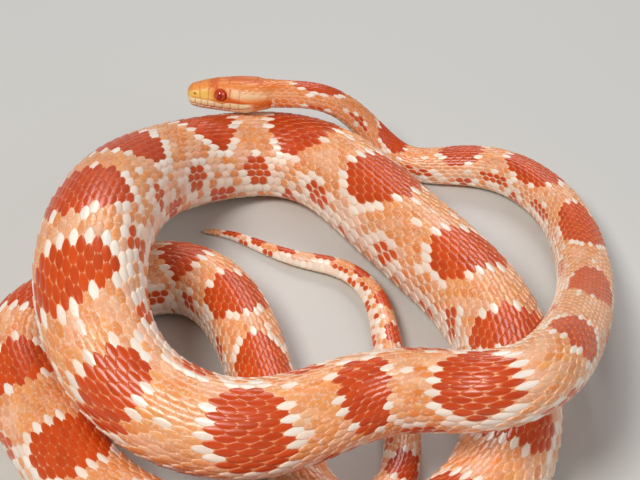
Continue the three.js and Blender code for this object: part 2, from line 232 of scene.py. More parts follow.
# Markings: where along the back each saddle is centred, read off the photo where it shows
SADDLES = [
    16, 54, 89, 122, 167, 226, 285, 323, 360, 398, 440, 478, 514, 560, 611, 655, 704, 757,
    801, 843, 886, 929, 972, 1016, 1060, 1098, 1132, 1157, 1187, 1222, 1261, 1289, 1314,
    1338, 1360, 1381, 1401, 1419, 1436, 1452, 1466, 1478,
]
SADDLE_SHARE = 0.27
SADDLE_REACH = 55.0
SADDLE_TWIST = np.array([(405, 0), (440, 15), (475, 0)])
SIDE_ROW_AT = 82.0
LOW_ROW_AT = 108.0
SCUTE_EDGE_AT = 118.0
SCUTE_CHECK_SHARE = 0.34

# Colours, as the eye sees them
RED = (0.86, 0.32, 0.06)
DEEP_RED = (0.73, 0.21, 0.04)
ORANGE = (0.91, 0.50, 0.18)
PEACH = (0.97, 0.72, 0.44)
WHITE = (0.99, 0.95, 0.90)
PALE_SKIN = (0.98, 0.87, 0.78)
BACK_SKIN = (0.95, 0.66, 0.48)
BELLY = (0.96, 0.89, 0.78)
LIP = (0.99, 0.92, 0.74)
LIP_PINK = (0.94, 0.66, 0.52)
SNOUT_YELLOW = (0.97, 0.82, 0.42)
CROWN = (0.92, 0.49, 0.18)
CROWN_RED = (0.87, 0.34, 0.07)
NECK_GOLD = (0.92, 0.50, 0.14)
CHEEK_ORANGE = (0.88, 0.40, 0.10)
# Painted shade for the mouth slit and the nostril pits
CREVICE_SHADE = (0.42, 0.13, 0.08)
# Painted shade for the eye socket's gap around the eyeball
EYE_SOCKET_SHADE = (0.72, 0.34, 0.16)
SEAM = (0.70, 0.34, 0.16)
IRIS = (0.76, 0.24, 0.08)
IRIS_EDGE = (0.86, 0.38, 0.14)
PUPIL = (0.58, 0.10, 0.04)

# Grain of the materials, as noise scales
FINE_GRAIN = 900
BROAD_MOTTLE = 160
EYE_FLECKS = 1800
RELIEF_DISTANCE = 0.0001

# Studio, in metres and watts: name, place, size, power and colour of each light
LIGHTS = [
    ("key", (-0.45, -0.55, 1.05), 0.45, 11.0, (1, 0.97, 0.92)),
    ("fill", (0.9, -0.5, 0.7), 0.9, 3.4, (0.95, 0.97, 1)),
    ("rim", (0.1, 0.9, 0.8), 0.5, 4.0, (1, 1, 1)),
]
LIGHTS_AIM = (0, 0, 0.03)
WORLD_COLOR = (0.85, 0.87, 0.9, 1)
WORLD_STRENGTH = 0.22
FLOOR_COLOR = (0.62, 0.61, 0.59, 1)
FLOOR_SIZE = 6
FLOOR_DROP = 0.0004


def linear(color):
    """Turns a colour as seen into the linear values that a shader reads."""
    c = np.asarray(color, float)
    return np.where(c <= 0.04045, c / 12.92, ((c + 0.055) / 1.055) ** 2.4)


def smooth(x, low, high):
    t = np.clip((x - low) / (high - low), 0, 1)
    return t * t * (3 - 2 * t)


def mix(a, b, share):
    share = np.asarray(share)[..., None]
    return a * (1 - share) + b * share


def hash01(*values):
    """A repeatable number from 0 to 1 for each row of values."""
    total = sum(np.asarray(v, float) * k for v, k in zip(values, (12.9898, 78.233, 37.719, 9.151)))
    return np.abs(np.sin(total) * 43758.5453) % 1.0


def unit(rows):
    return rows / np.maximum(np.linalg.norm(rows, axis=-1, keepdims=True), 1e-9)


# Centreline
def centreline():
    rows = np.array(STATIONS, float)
    rows = np.vstack([2 * rows[0] - rows[1], rows, 2 * rows[-1] - rows[-2]])
    t = np.arange(SPLINE_STEPS) / SPLINE_STEPS
    weights = np.stack([
        (1 - t) ** 3,
        3 * t**3 - 6 * t**2 + 4,
        -3 * t**3 + 3 * t**2 + 3 * t + 1,
        t**3,
    ], 1) / 6
    spans = [weights @ rows[i:i + 4] for i in range(len(rows) - 3)]
    path = np.vstack(spans + [rows[-2:-1]])
    radius = path[:, 3] / 2
    point = path[:, :3].copy()
    point[:, 2] += FLAT_BELLY * radius - PRESS
    along = np.concatenate([[0], np.cumsum(np.linalg.norm(np.diff(point, axis=0), axis=1))])
    even = np.arange(0, along[-1], 0.5)
    point = np.stack([np.interp(even, along, point[:, k]) for k in range(3)], 1)
    radius = np.interp(even, along, radius)
    lean = np.radians(np.interp(even, along, path[:, 4]))
    travel = point[np.minimum(np.arange(len(even)) + 4, len(even) - 1)]
    travel = unit(travel - point[np.maximum(np.arange(len(even)) - 4, 0)])
    left = unit(np.cross((0, 0, 1), travel))
    up = np.cross(travel, left)
    cos, sin = np.cos(lean)[:, None], np.sin(lean)[:, None]
    return even, point, radius, travel, up * cos + left * sin, left * cos - up * sin


ALONG, POINT, RADIUS, TRAVEL, BACK, SIDE = centreline()
BODY_LENGTH = float(ALONG[-1])


def read(table, s):
    if table.ndim == 1:
        return np.interp(s, ALONG, table)
    return np.stack([np.interp(s, ALONG, table[:, k]) for k in range(table.shape[1])], -1)


def radius_at(s):
    return read(RADIUS, s)


def scale_size(s):
    """Length of one scale row along the body at s."""
    return 1.8 + 0.24 * radius_at(s)


def skin_depth(s):
    """How far the bare skin lies under the solids' outline."""
    return 0.115 * scale_size(s)


# Surfaces
def body_point(s, angle, lift):
    radius = radius_at(s) - skin_depth(s) + lift
    cosine = np.cos(angle)
    flat = FLAT_BELLY * np.tanh(BELLY_SQUARENESS * np.abs(cosine)) / math.tanh(BELLY_SQUARENESS)
    rise = np.where(cosine >= 0, cosine, -flat)
    point = read(POINT, s)
    point = point + read(BACK, s) * (radius * rise)[..., None]
    return point + read(SIDE, s) * (radius * np.sin(angle))[..., None]


def profile(back, column):
    """A smooth curve through the head's sections."""
    x, y = HEAD_PROFILE[:, 0], HEAD_PROFILE[:, column]
    slope = np.empty(len(x))
    slope[1:-1] = (y[2:] - y[:-2]) / (x[2:] - x[:-2])
    slope[0] = (y[1] - y[0]) / (x[1] - x[0])
    slope[-1] = (y[-1] - y[-2]) / (x[-1] - x[-2])
    i = np.clip(np.searchsorted(x, back, side="right") - 1, 0, len(x) - 2)
    h = x[i + 1] - x[i]
    t = np.clip((back - x[i]) / h, 0, 1)
    value = (2 * t**3 - 3 * t**2 + 1) * y[i] + (t**3 - 2 * t**2 + t) * h * slope[i]
    value += (-2 * t**3 + 3 * t**2) * y[i + 1] + (t**3 - t**2) * h * slope[i + 1]
    tip = np.clip((SNOUT_ROUND - back) / SNOUT_ROUND, 0, 1)
    return value * np.sqrt(np.clip(1 - tip**2.2, 0, 1))


def squareness(back):
    share = smooth(back, 24, HEAD_LENGTH)
    return HEAD_SQUARENESS + (NAPE_SQUARENESS - HEAD_SQUARENESS) * share


def head_section(back, angle):
    """Side and height of the plain head surface."""
    n = squareness(back)
    sine, cosine = np.sin(angle), np.cos(angle)
    side = profile(back, 1) * np.sign(sine) * np.abs(sine) ** (2 / n)
    reach = np.where(cosine > 0, profile(back, 2), profile(back, 3))
    return side, reach * np.sign(cosine) * np.abs(cosine) ** (2 / n)


def head_place(back, side, height):
    place = POINT[0] + TRAVEL[0] * (back - HEAD_LENGTH)[..., None]
    return place + SIDE[0] * side[..., None] + BACK[0] * height[..., None]


def crown_place(back, side):
    n = squareness(back)
    share = np.minimum(0.999, np.abs(side) / np.maximum(profile(back, 1), 1e-6))
    return head_place(back, side, profile(back, 2) * (1 - share**n) ** (1 / n))


def flank_place(back, height, right):
    n = squareness(back)
    reach = np.where(height > 0, profile(back, 2), profile(back, 3))
    share = np.minimum(0.999, np.abs(height) / np.maximum(reach, 1e-6))
    return head_place(back, right * profile(back, 1) * (1 - share**n) ** (1 / n), height)


def surface(s, angle, lift):
    """A point on the neck, body or tail, or on the back of the head where s is under 0."""
    body = body_point(np.maximum(s, 0), angle, lift)
    side, height = head_section(HEAD_LENGTH + np.minimum(s, 0), angle)
    reach = np.hypot(side, height)
    grow = 1 + (lift - skin_depth(0.0)) / np.maximum(reach, 1e-6)
    head = head_place(HEAD_LENGTH + np.minimum(s, 0), side * grow, height * grow)
    place = np.where((s < 0)[..., None], head, body)
    floor = np.where(lift > 0.05, 0.0, SKIN_CLEARANCE)
    place[..., 2] = np.maximum(place[..., 2], floor)
    return place


# Markings
def saddle_distance(s, angle):
    """Distance in millimetres outside the nearest saddle, and that saddle's number."""
    centres = np.array(SADDLES, float)
    nearest = np.abs(s[..., None] - centres).argmin(-1)
    centre = centres[nearest]
    radius = radius_at(s)
    angle = angle - np.interp(s, SADDLE_TWIST[:, 0], SADDLE_TWIST[:, 1])
    gap = np.interp(centre, centres[:-1], np.diff(centres))
    vary = hash01(nearest, 3.0)
    reach = SADDLE_REACH + 9 * (vary - 0.5)
    half = SADDLE_SHARE * gap * (0.92 + 0.2 * hash01(nearest, 5.0))
    share = np.clip(np.abs(angle) / reach, 0, 1)
    half = half * (1 - 0.62 * share**2.4)
    skew = 0.10 * radius * (hash01(nearest, 7.0) - 0.5) * angle / reach
    along = np.abs(s - centre - skew) - half
    around = (np.abs(angle) - reach) * math.pi / 180 * radius
    outside = np.hypot(np.maximum(along, 0), np.maximum(around, 0))
    return np.where((along < 0) & (around < 0), np.maximum(along, around), outside), nearest


def blotch_distance(s, angle, centres, middle, tall, share):
    """Distance measure to a row of blotches on the flanks, under 0 inside."""
    nearest = np.abs(s[..., None] - centres).argmin(-1)
    gap = np.interp(centres[nearest], centres[:-1], np.diff(centres))
    right = np.sign(angle)
    centre = centres[nearest] + 0.12 * gap * (hash01(nearest, right, 2.0) - 0.5)
    half = share * gap * (0.7 + 0.6 * hash01(nearest, right, 4.0))
    high = tall * (0.7 + 0.6 * hash01(nearest, right, 6.0))
    x = (s - centre) / half
    y = (np.abs(angle) - middle - 5 * (hash01(nearest, right, 8.0) - 0.5)) / high
    return (np.hypot(x, y) - 1) * half


def markings(s, angle, seed):
    """Colour in the middle and at the rim of a scale, and how much it is speckled."""
    s = np.asarray(s, float)
    noise = hash01(s, angle, seed)
    noise_b = hash01(angle, s, seed + 1.7)
    radius = radius_at(s)
    size = radius / 18.0
    flank = smooth(np.abs(angle), 48, 92)
    ground = mix(linear(ORANGE), linear(PEACH), 0.05 + 0.45 * noise)
    drift = np.sin(s / 7 + 1.7 * np.sin(angle / 17))
    cloud = 0.5 + 0.5 * drift * np.sin(angle / 12 + 2 * np.sin(s / 11))
    whiter = smooth(cloud, 0.45, 0.8) * (0.25 + 0.6 * flank) * smooth(s, 60, 130)
    ground = mix(ground, linear(WHITE), 0.75 * whiter)
    ground = mix(ground, linear(NECK_GOLD), 0.65 * (1 - smooth(s, 20, 100)))
    white_chance = (0.04 + 0.24 * flank) * smooth(s, 15, 90)
    ground = mix(ground, linear(WHITE), np.where(noise_b < white_chance, 0.75, 0.10 * noise_b))
    saddle, number = saddle_distance(s, angle)
    centres = np.array(SADDLES, float)
    between = (centres[1:] + centres[:-1]) / 2
    side_row = blotch_distance(s, angle, between, SIDE_ROW_AT, 15.0, 0.17)
    low_row = blotch_distance(s, angle, centres, LOW_ROW_AT, 8.0, 0.13)
    nearest = np.minimum(saddle, np.minimum(side_row, low_row))
    border = (1.5 + 3.2 * noise) * (0.8 + 0.7 * flank) * np.maximum(size, 0.4)
    edge = (nearest >= 0) & (nearest < border)
    color = mix(ground, linear(WHITE), np.where(edge, 0.75 + 0.25 * noise_b, 0))
    depth = 0.25 + 0.40 * noise * (1 - flank) + 0.12 * np.sin(number)
    red = mix(linear(RED), linear(DEEP_RED), depth)
    red = mix(red, linear(ORANGE), 0.18 * flank * noise_b)
    inside = nearest < 0
    color = np.where(inside[..., None], red, color)
    pale = mix(linear(PEACH), linear(PALE_SKIN), flank)
    pale = np.where(inside[..., None], pale, mix(linear(PEACH), linear(WHITE), 0.35 + 0.4 * flank))
    amount = np.where(inside, 0.34 + 0.42 * flank, 0.8) * (0.35 + 0.65 * smooth(s, 15, 100))
    rim = mix(color, pale, amount)
    speckle = np.where(inside, 0.0, 0.32)
    return color, rim, speckle


# Meshes
def paint(mesh, colors):
    """Gives each point its colour, which the materials read."""
    rgba = np.ones((len(colors), 4), np.float32)
    rgba[:, :3] = np.clip(colors, 0, 1)
    tint = mesh.color_attributes.new("tint", "FLOAT_COLOR", "POINT")
    tint.data.foreach_set("color", rgba.ravel())


def make_mesh(name, points, faces, sizes, colors, speckle, uv=None):
    """A mesh object from arrays: points in millimetres, faces as one flat list of corners."""
    mesh = bpy.data.meshes.new(name)
    mesh.vertices.add(len(points))
    mesh.vertices.foreach_set("co", (np.asarray(points) * MM).astype(np.float32).ravel())
    mesh.loops.add(len(faces))
    mesh.loops.foreach_set("vertex_index", np.asarray(faces, np.int32))
    mesh.polygons.add(len(sizes))
    starts = np.concatenate([[0], np.cumsum(sizes)[:-1]]).astype(np.int32)
    mesh.polygons.foreach_set("loop_start", starts)
    mesh.update(calc_edges=True)
    mesh.polygons.foreach_set("use_smooth", np.ones(len(sizes), bool))
    paint(mesh, colors)
    layer = mesh.attributes.new("speckle", "FLOAT", "POINT")
    layer.data.foreach_set("value", np.asarray(speckle, np.float32))
    if uv is not None:
        layer = mesh.uv_layers.new(name="OFBake")
        layer.data.foreach_set("uv", np.asarray(uv, np.float32)[faces].ravel())
    mesh.validate()
    obj = bpy.data.objects.new(name, mesh)
    bpy.context.scene.collection.objects.link(obj)
    return obj


def grid_faces(rows, columns):
    """Quads of a tube: rows of rings that close on themselves."""
    r = np.arange(rows - 1)[:, None]
    c = np.arange(columns)[None, :]
    d = (c + 1) % columns
    near = r * columns
    far = near + columns
    quads = np.stack([near + c, near + d, far + d, far + c], -1)
    return quads.reshape(-1)[::-1], np.full((rows - 1) * columns, 4)


def join_arrays(first, second):
    """Two meshes' arrays as one: points, faces, face sizes and then any values of the points."""
    moved = (second[0], second[1] + len(first[0]), *second[2:])
    return tuple(np.concatenate(pair) for pair in zip(first, moved))


def skin_tube():
    """The bare skin of neck, body and tail, seen between the scales."""
    s = np.concatenate([np.arange(-1.5, BODY_LENGTH - 0.5, SKIN_STEP), [BODY_LENGTH - 0.2]])
    angle = np.radians(np.arange(SKIN_COLUMNS) * 360.0 / SKIN_COLUMNS)
    s_grid, angle_grid = np.meshgrid(s, angle, indexing="ij")
    points = surface(s_grid, angle_grid, np.zeros_like(s_grid))
    degrees = (np.degrees(angle_grid) + 180) % 360 - 180
    color, rim, _ = markings(np.maximum(s_grid, 0), degrees, SKIN_SEED)
    bare = mix(linear(BACK_SKIN), linear(PALE_SKIN), smooth(np.abs(degrees), 25, 75))
    color = mix(rim, bare, 0.15 + 0.55 * smooth(s_grid, 15, 90))
    color = mix(color, linear(BELLY), smooth(np.abs(degrees), 112, 124))
    faces, sizes = grid_faces(len(s), SKIN_COLUMNS)
    return points.reshape(-1, 3), faces, sizes, color.reshape(-1, 3)


# Head
def head_limit(angle):
    """How far forward on the head the small scales reach."""
    return np.interp(angle, *HEAD_LIMIT.T)


def mouth_height(back):
    return np.interp(back, MOUTH_LINE[:, 0], MOUTH_LINE[:, 1])


def dense(path, step=0.12):
    path = np.array(path, float)
    out = []
    for a, b in zip(path[:-1], path[1:]):
        count = max(2, int(np.linalg.norm(b - a) / step))
        out.append(a + (b - a) * np.linspace(0, 1, count)[:, None])
    return np.vstack(out)


def tree_of(points):
    tree = KDTree(len(points))
    for i, point in enumerate(points):
        tree.insert(point, i)
    tree.balance()
    return tree


def groove_points():
    """Points along every seam between the head shields."""
    points = []
    for path in CROWN_GROOVES:
        line = dense(path)
        for right in (1, -1):
            points.append(crown_place(line[:, 0], line[:, 1] * right))
    top = np.array(LIP_TOP)
    seams = [[(b, mouth_height(b) + 0.2), (b, np.interp(b, *top.T))] for b in LIP_SEAMS]
    jaw = [[(b, mouth_height(b) - 0.4), (b, mouth_height(b) - 1.9)] for b in JAW_SEAMS]
    for path in [LIP_TOP, *seams, *jaw, *CHEEK_GROOVES]:
        line = dense(path)
        for right in (1, -1):
            points.append(flank_place(line[:, 0], line[:, 1], right))
    return np.vstack(points)


def mouth_points():
    line = dense([(0.25, mouth_height(0.25)), *MOUTH_LINE[1:]])
    return np.vstack([flank_place(line[:, 0], line[:, 1], right) for right in (1, -1)])


def nearest_distance(tree, points):
    return np.array([tree.find(p)[2] for p in points])


def eye_place(right, inset):
    surface_point = flank_place(np.array(EYE_BACK), np.array(EYE_HEIGHT), right)
    return surface_point - SIDE[0] * right * inset


def head_color(back, side, height, groove, mouth):
    """Colours of the head shields, as in the photo's profile view."""
    high = np.maximum(profile(back, 2), 0.5)
    crown = smooth(height / high, 0.40, 0.75)
    patch = 0.5 + 0.5 * np.sin(1.9 * back + 2.3 * side) * np.sin(1.3 * side - 0.9 * back)
    color = mix(np.broadcast_to(linear(CROWN), back.shape + (3,)), linear(PEACH), 0.30 * patch)
    temple = smooth(back, 15, 19) * np.exp(-(((height - 1.6) / 1.7) ** 2))
    color = mix(color, linear(LIP), 0.62 * temple * (1 - 0.6 * smooth(back, 28, 34)))
    bar = smooth(back, 8.2, 9.4) * (1 - smooth(back, 12.0, 13.4)) * smooth(height, 1.6, 3.4)
    color = mix(color, linear(CROWN_RED), 0.75 * bar)
    arm = np.abs(np.abs(side) - (1.2 + 0.20 * np.maximum(back - 16, 0)))
    spear = (1 - smooth(arm, 1.2, 2.4)) * smooth(back, 14.5, 17.0) * crown
    color = mix(color, linear(CROWN_RED), 0.75 * spear * (0.7 + 0.3 * patch))
    nape = smooth(back, 27, 34) * smooth(height / high, 0.1, 0.6)
    color = mix(color, linear(ORANGE), 0.6 * nape)
    yellow = (1 - smooth(back, 8.0, 12.5)) * (1 - 0.85 * crown)
    color = mix(color, linear(SNOUT_YELLOW), 0.8 * yellow)
    stripe_height = np.interp(back, *CHEEK_STRIPE.T)
    stripe = (1 - smooth(np.abs(height - stripe_height), 0.9, 1.7)) * smooth(back, 14.5, 16.0)
    color = mix(color, linear(CHEEK_ORANGE), 0.9 * stripe)
    lip_top = np.interp(back, *np.array(LIP_TOP).T)
    lips = 1 - smooth(height, lip_top - 0.25, lip_top + 0.15)
    lips = lips * (1 - smooth(back, 24, 28))
    color = mix(color, linear(LIP), 0.9 * lips)
    blush = np.exp(-((height - mouth_height(back)) / 0.8) ** 2)
    color = mix(color, linear(LIP_PINK), 0.7 * lips * blush)
    seam = np.exp(-((groove / 0.20) ** 2))
    color = mix(color, linear(SEAM), 0.5 * seam)
    # painted shade along the mouth slit
    color = mix(color, linear(CREVICE_SHADE), 0.85 * np.exp(-((mouth / 0.2) ** 2)))
    throat = smooth(-height / np.maximum(profile(back, 3), 0.5), 0.70, 0.92)
    return mix(color, linear(BELLY), throat)


def head_tint(s, angle):
    """The head's own colours for small scales on it and just behind it, and how far they hold."""
    back = HEAD_LENGTH + np.minimum(s, 0)
    side, height = head_section(back, np.radians(angle))
    far = np.full(len(s), 9.0)
    return head_color(back, side, height, far, far), 1 - smooth(s, -1.0, 11.0)


def skin_head():
    """The head with its shields, lips, nostrils and eye openings."""
    t = np.linspace(0, 1, HEAD_ROWS)
    back = (HEAD_LENGTH - 0.2) * t**1.3
    angle = np.radians(np.arange(HEAD_COLUMNS) * 360.0 / HEAD_COLUMNS)
    back_grid, angle_grid = np.meshgrid(back, angle, indexing="ij")
    side, height = head_section(back_grid, angle_grid)
    points = head_place(back_grid, side, height)
    flat = points.reshape(-1, 3)
    groove = nearest_distance(tree_of(groove_points()), flat).reshape(back_grid.shape)
    mouth = nearest_distance(tree_of(mouth_points()), flat).reshape(back_grid.shape)
    along = np.gradient(points, axis=0)
    around = np.roll(points, -1, 1) - np.roll(points, 1, 1)
    normal = unit(np.cross(around, along))
    outward = points - head_place(back_grid, side * 0, height * 0)
    normal = np.where((normal * outward).sum(-1, keepdims=True) < 0, -normal, normal)
    normal[0] = -TRAVEL[0]
    push = -GROOVE_DEPTH * np.exp(-((groove / GROOVE_HALF) ** 2))
    push += 0.07 * (1 - np.exp(-((groove / 0.7) ** 2)))
    push -= MOUTH_DEPTH * np.exp(-((mouth / MOUTH_HALF) ** 2))
    eye = np.hypot(back_grid - EYE_BACK, height - EYE_HEIGHT)
    eye = np.where(np.abs(side) > 0.5 * profile(back_grid, 1), eye, 99)
    push += LID_RISE * np.exp(-(((eye - EYE_OPENING - 0.45) / 0.32) ** 2))
    push -= EYE_PIT_DEPTH * (1 - smooth(eye, EYE_OPENING - 0.25, EYE_OPENING + 0.1))
    for back_at, height_at, long, tall, rise in HEAD_SWELLS:
        swell = np.exp(-(((back_grid - back_at) / long) ** 2))
        swell = swell * np.exp(-(((height - height_at) / tall) ** 2))
        push += rise * swell
    nostril = np.hypot(back_grid - NOSTRIL_BACK, height - NOSTRIL_HEIGHT)
    nostril = np.where(np.abs(side) > 0.4 * profile(back_grid, 1), nostril, 99)
    push -= NOSTRIL_DEPTH * (1 - smooth(nostril, 0.35, 0.6))
    push += NOSTRIL_RIM_RISE * np.exp(-(((nostril - 0.8) / 0.25) ** 2))
    around_head = np.abs((np.degrees(angle_grid) + 180) % 360 - 180)
    scaled = HEAD_LENGTH + head_limit(around_head) - 1.2
    push -= (skin_depth(0.0) + 0.02) * smooth(back_grid - scaled, -0.4, 2.4)
    points = points + normal * push[..., None]
    color = head_color(back_grid, side, height, groove, mouth)
    # painted shade inside the nostril pits
    color = mix(color, linear(CREVICE_SHADE), 0.65 * (1 - smooth(nostril, 0.35, 0.55)))
    # painted shade in the eye socket, seen in the gap around the eyeball
    color = mix(color, linear(EYE_SOCKET_SHADE), 0.9 * (1 - smooth(eye, EYE_OPENING - 0.1, EYE_OPENING + 0.1)))
    faces, sizes = grid_faces(HEAD_ROWS, HEAD_COLUMNS)
    return points.reshape(-1, 3), faces, sizes, color.reshape(-1, 3)


def make_skin():
    """One skin for the whole snake, in place of every node of flesh."""
    points, faces, sizes, colors = join_arrays(skin_tube(), skin_head())
    skin = make_mesh("skin", points, faces, sizes, colors, np.zeros(len(points)))
    flesh = [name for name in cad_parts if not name.startswith("eye")]
    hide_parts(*flesh)
    return skin


# Coat
def outline_reach(c, s):
    """How far the outline of a scale, pointed at its ends, reaches in each direction."""
    low = np.zeros_like(c)
    high = np.full_like(c, 1.5)
    for _ in range(30):
        middle = (low + high) / 2
        inside = np.abs(middle * c) ** END_POWER + np.abs(middle * s) ** SIDE_POWER < 1
        low = np.where(inside, middle, low)
        high = np.where(inside, high, middle)
    return low


def scale_template():
    """Points and faces of one scale: across and along from -1 to 1, and the ring of each point."""
    angles = np.arange(RING_SEGMENTS) * 2 * math.pi / RING_SEGMENTS
    c = np.cos(angles)
    s = np.sin(angles)
    reach = outline_reach(c, s)
    u, v, ring = [0.0], [0.0], [0]
    for k, share in enumerate(RING_SHARES):
        u.extend(share * reach * c)
        v.extend(share * reach * s)
        ring.extend([k + 1] * RING_SEGMENTS)
    u.extend(reach * c * 1.01)
    v.extend(reach * s * 1.01)
    ring.extend([len(RING_SHARES) + 1] * RING_SEGMENTS)
    faces, sizes = [], []
    for i in range(RING_SEGMENTS):
        j = (i + 1) % RING_SEGMENTS
        faces += [0, 1 + j, 1 + i]
        sizes.append(3)
    for k in range(len(RING_SHARES)):
        a, b = 1 + k * RING_SEGMENTS, 1 + (k + 1) * RING_SEGMENTS
        for i in range(RING_SEGMENTS):
            j = (i + 1) % RING_SEGMENTS
            faces += [a + i, a + j, b + j, b + i]
            sizes.append(4)
    return np.array(u), np.array(v), np.array(ring), np.array(faces), np.array(sizes)


def column_positions():
    """Where along the body each cross row of scales sits."""
    columns = [COAT_FROM]
    while columns[-1] < BODY_LENGTH - 1.5:
        s = max(columns[-1], 0.0)
        columns.append(columns[-1] + float(scale_size(np.array(s))))
    return np.array(columns)


COLUMNS = column_positions()


def row_count(s):
    count = ROW_COUNTS[0][1]
    for start, rows in ROW_COUNTS:
        if s >= start:
            count = rows
    return count


def row_angle(j, count):
    """Angle from the middle of the back, in degrees: rows crowd together along the back."""
    share = 2 * j / count
    return VENTRAL_EDGE * share * (BACK_CROWDING + (1 - BACK_CROWDING) * abs(share))


def scale_list(start, end):
    """Root, angle, half sizes and cell of every back and flank scale between start and end."""
    rows = []
    for column in COLUMNS:
        if not start <= column < end:
            continue
        count = row_count(column)
        pitch = float(scale_size(np.array(max(column, 0.0))))
        for j in range(-(count // 2), count // 2 + 1):
            s = column + (pitch / 2 if j % 2 else 0.0)
            angle = row_angle(j, count)
            step = (row_angle(abs(j) + 1, count) - row_angle(abs(j) - 1, count)) / 2
            if s < head_limit(abs(angle)) or s > BODY_LENGTH - 1.0:
                continue
            rows.append((s, angle, pitch, step))
    return np.array(rows)


def surface_stretch(s, angle):
    """How much longer the skin is than the centreline at a place: over 1 outside a bend."""
    flat = np.zeros(np.broadcast(s, angle).shape)
    ahead = surface(s + 1, angle, flat)
    behind = surface(s - 1, angle, flat)
    return np.clip(np.linalg.norm(ahead - behind, axis=-1) / 2, 0.62, 1.6)


def coat_scales(start, end):
    """Points, faces and colours of the overlapping scales of one stretch."""
    rows = scale_list(start, end)
    u, v, ring, faces, sizes = scale_template()
    s0, angle0, pitch, step = (rows[:, k][:, None] for k in range(4))
    radius = radius_at(np.maximum(s0, 0))
    low_rows = smooth(np.abs(angle0), 85, 118)
    flank = smooth(np.abs(angle0), 30, 85)
    stretch = surface_stretch(s0, np.radians(angle0))
    half_long = 0.5 * pitch * (1.28 - 0.20 * flank) / np.sqrt(stretch)
    half_wide = np.radians(step) * (0.67 - 0.10 * flank)
    thick = pitch / 6
    s = s0 + half_long * u
    angle = np.radians(angle0) + half_wide * v
    edge = np.maximum(np.abs(u), np.abs(v))
    rise = np.clip((u + 1) / 2, 0, 1)
    dome = 0.28 * (1 - 0.9 * v**2 - 0.3 * u**2)
    keel = 0.05 * np.exp(-((v / 0.16) ** 2)) * (1 - low_rows) * smooth(u, -0.9, 0.3)
    lift = thick * (-0.26 + 0.46 * rise**1.2 + dome + keel)
    lift = lift - thick * 0.10 * smooth(ring, 3.5, 4.0) * (edge > 0)
    lift = np.where(ring == len(RING_SHARES) + 1, lift - thick * 0.55, lift)
    points = surface(s, angle, lift)
    color, rim, speckle = markings(rows[:, 0], rows[:, 1], COAT_SEED)
    shields, head_share = head_tint(rows[:, 0], rows[:, 1])
    color = mix(color, shields, head_share)
    rim = mix(rim, mix(shields, linear(PEACH), 0.4), head_share)
    speckle = speckle * (1 - head_share)
    ends = smooth(np.abs(u), 0.72, 0.98) * flank
    share = np.clip(np.array(RIM_SHARES)[ring] + 0.5 * ends, 0, 1)
    shade = (0.94 + 0.12 * hash01(rows[:, 0], rows[:, 1], 9.0))[:, None, None]
    colors = mix(color[:, None, :], rim[:, None, :], share) * shade
    specks = np.repeat(speckle[:, None], len(u), 1)
    cell_u = (s0 - start + pitch * 0.45 * u / 1.02) / (end - start + UV_MARGIN)
    cell_v = (angle0 + VENTRAL_EDGE + step + step * 0.45 * v / 1.02) / UV_DEGREES
    uv = np.stack([np.clip(cell_u + 0.01, 0, 1), np.clip(cell_v, 0, 1)], -1)
    count = len(rows)
    offsets = (np.arange(count) * len(u))[:, None]
    return (
        points.reshape(-1, 3),
        (faces[None, :] + offsets).reshape(-1),
        np.tile(sizes, count),
        colors.reshape(-1, 3),
        specks.reshape(-1),
        uv.reshape(-1, 2),
    )


